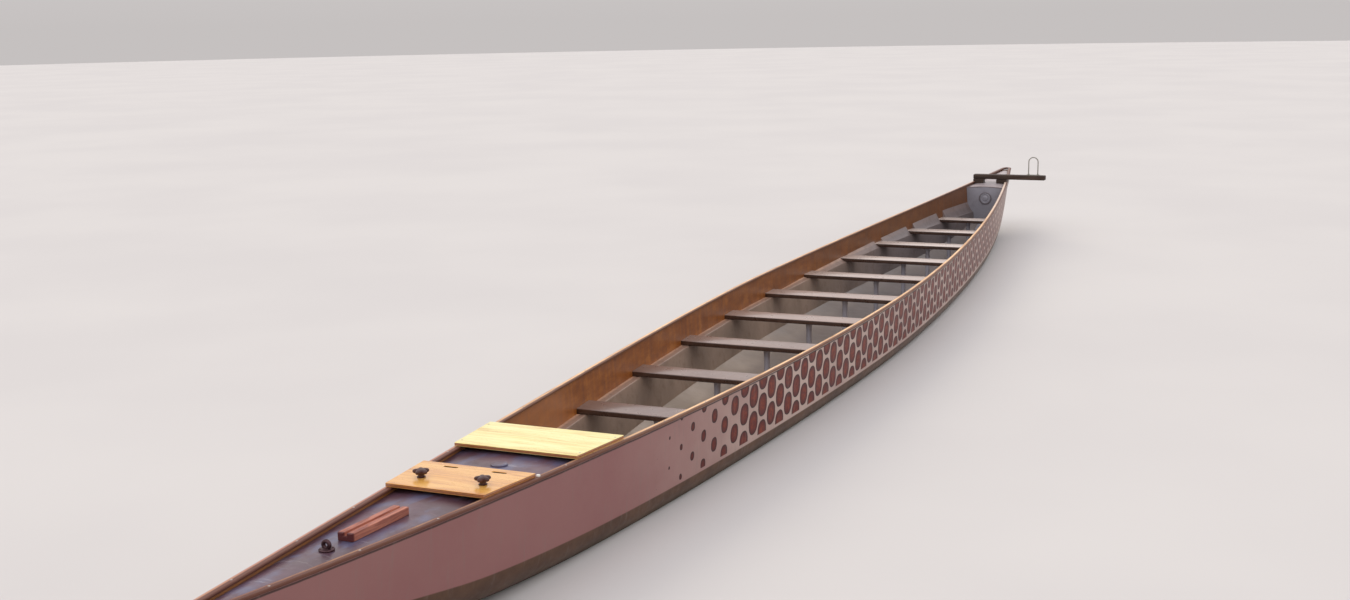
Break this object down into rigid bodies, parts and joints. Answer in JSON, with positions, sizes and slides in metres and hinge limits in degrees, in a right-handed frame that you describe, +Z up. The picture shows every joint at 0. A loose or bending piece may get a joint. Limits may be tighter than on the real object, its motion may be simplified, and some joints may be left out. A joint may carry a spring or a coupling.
{
  "type": "dragon boat",
  "caption": "Long narrow open paddling boat with cross benches, short decks, drum and seat boards at the bow and a steering arm with an oar loop at the stern.",
  "frame": {"origin": "amidships on the centreline, at the waterline of the empty boat", "axes": "+X to the bow, +Y to port, +Z up"},
  "size_m": [12.4, 1.1208, 0.8142],
  "materials": {
    "hull_gelcoat": "glossy, scale ornament on the topsides",
    "liner_gelcoat": "satin",
    "gunwale_cap": "worn satin",
    "plywood": "varnished",
    "hardwood": "oiled",
    "dark_wood": "weathered",
    "black_plastic": "matt",
    "dark_metal": "dulled",
    "steel": "satin"
  },
  "bodies": {
    "root": {"hull_shell": "hull_gelcoat", "gunwale_port": "gunwale_cap", "gunwale_starboard": "gunwale_cap", "foredeck": "liner_gelcoat", "aft_deck": "liner_gelcoat", "fore_bulkhead": "liner_gelcoat", "aft_bulkhead": "liner_gelcoat", "hatch_ring": "liner_gelcoat", "hatch_lid": "liner_gelcoat", "side_ledge_port": "liner_gelcoat", "side_ledge_starboard": "liner_gelcoat", "keelson": "liner_gelcoat", "bench_01": "liner_gelcoat", "bench_02": "liner_gelcoat", "bench_03": "liner_gelcoat", "bench_04": "liner_gelcoat", "bench_05": "liner_gelcoat", "bench_06": "liner_gelcoat", "bench_07": "liner_gelcoat", "bench_08": "liner_gelcoat", "bench_09": "liner_gelcoat", "bench_10": "liner_gelcoat", "drum_board": "plywood", "drummer_seat_board": "plywood", "seat_knob_port": "black_plastic", "seat_knob_starboard": "black_plastic", "figurehead_block": "hardwood", "deck_eye": "dark_metal", "deck_plate": "liner_gelcoat", "arm_pad_port": "dark_wood", "arm_pad_starboard": "dark_wood", "steering_arm": "dark_wood", "oar_loop": "steel"}
  },
  "joints": []
}
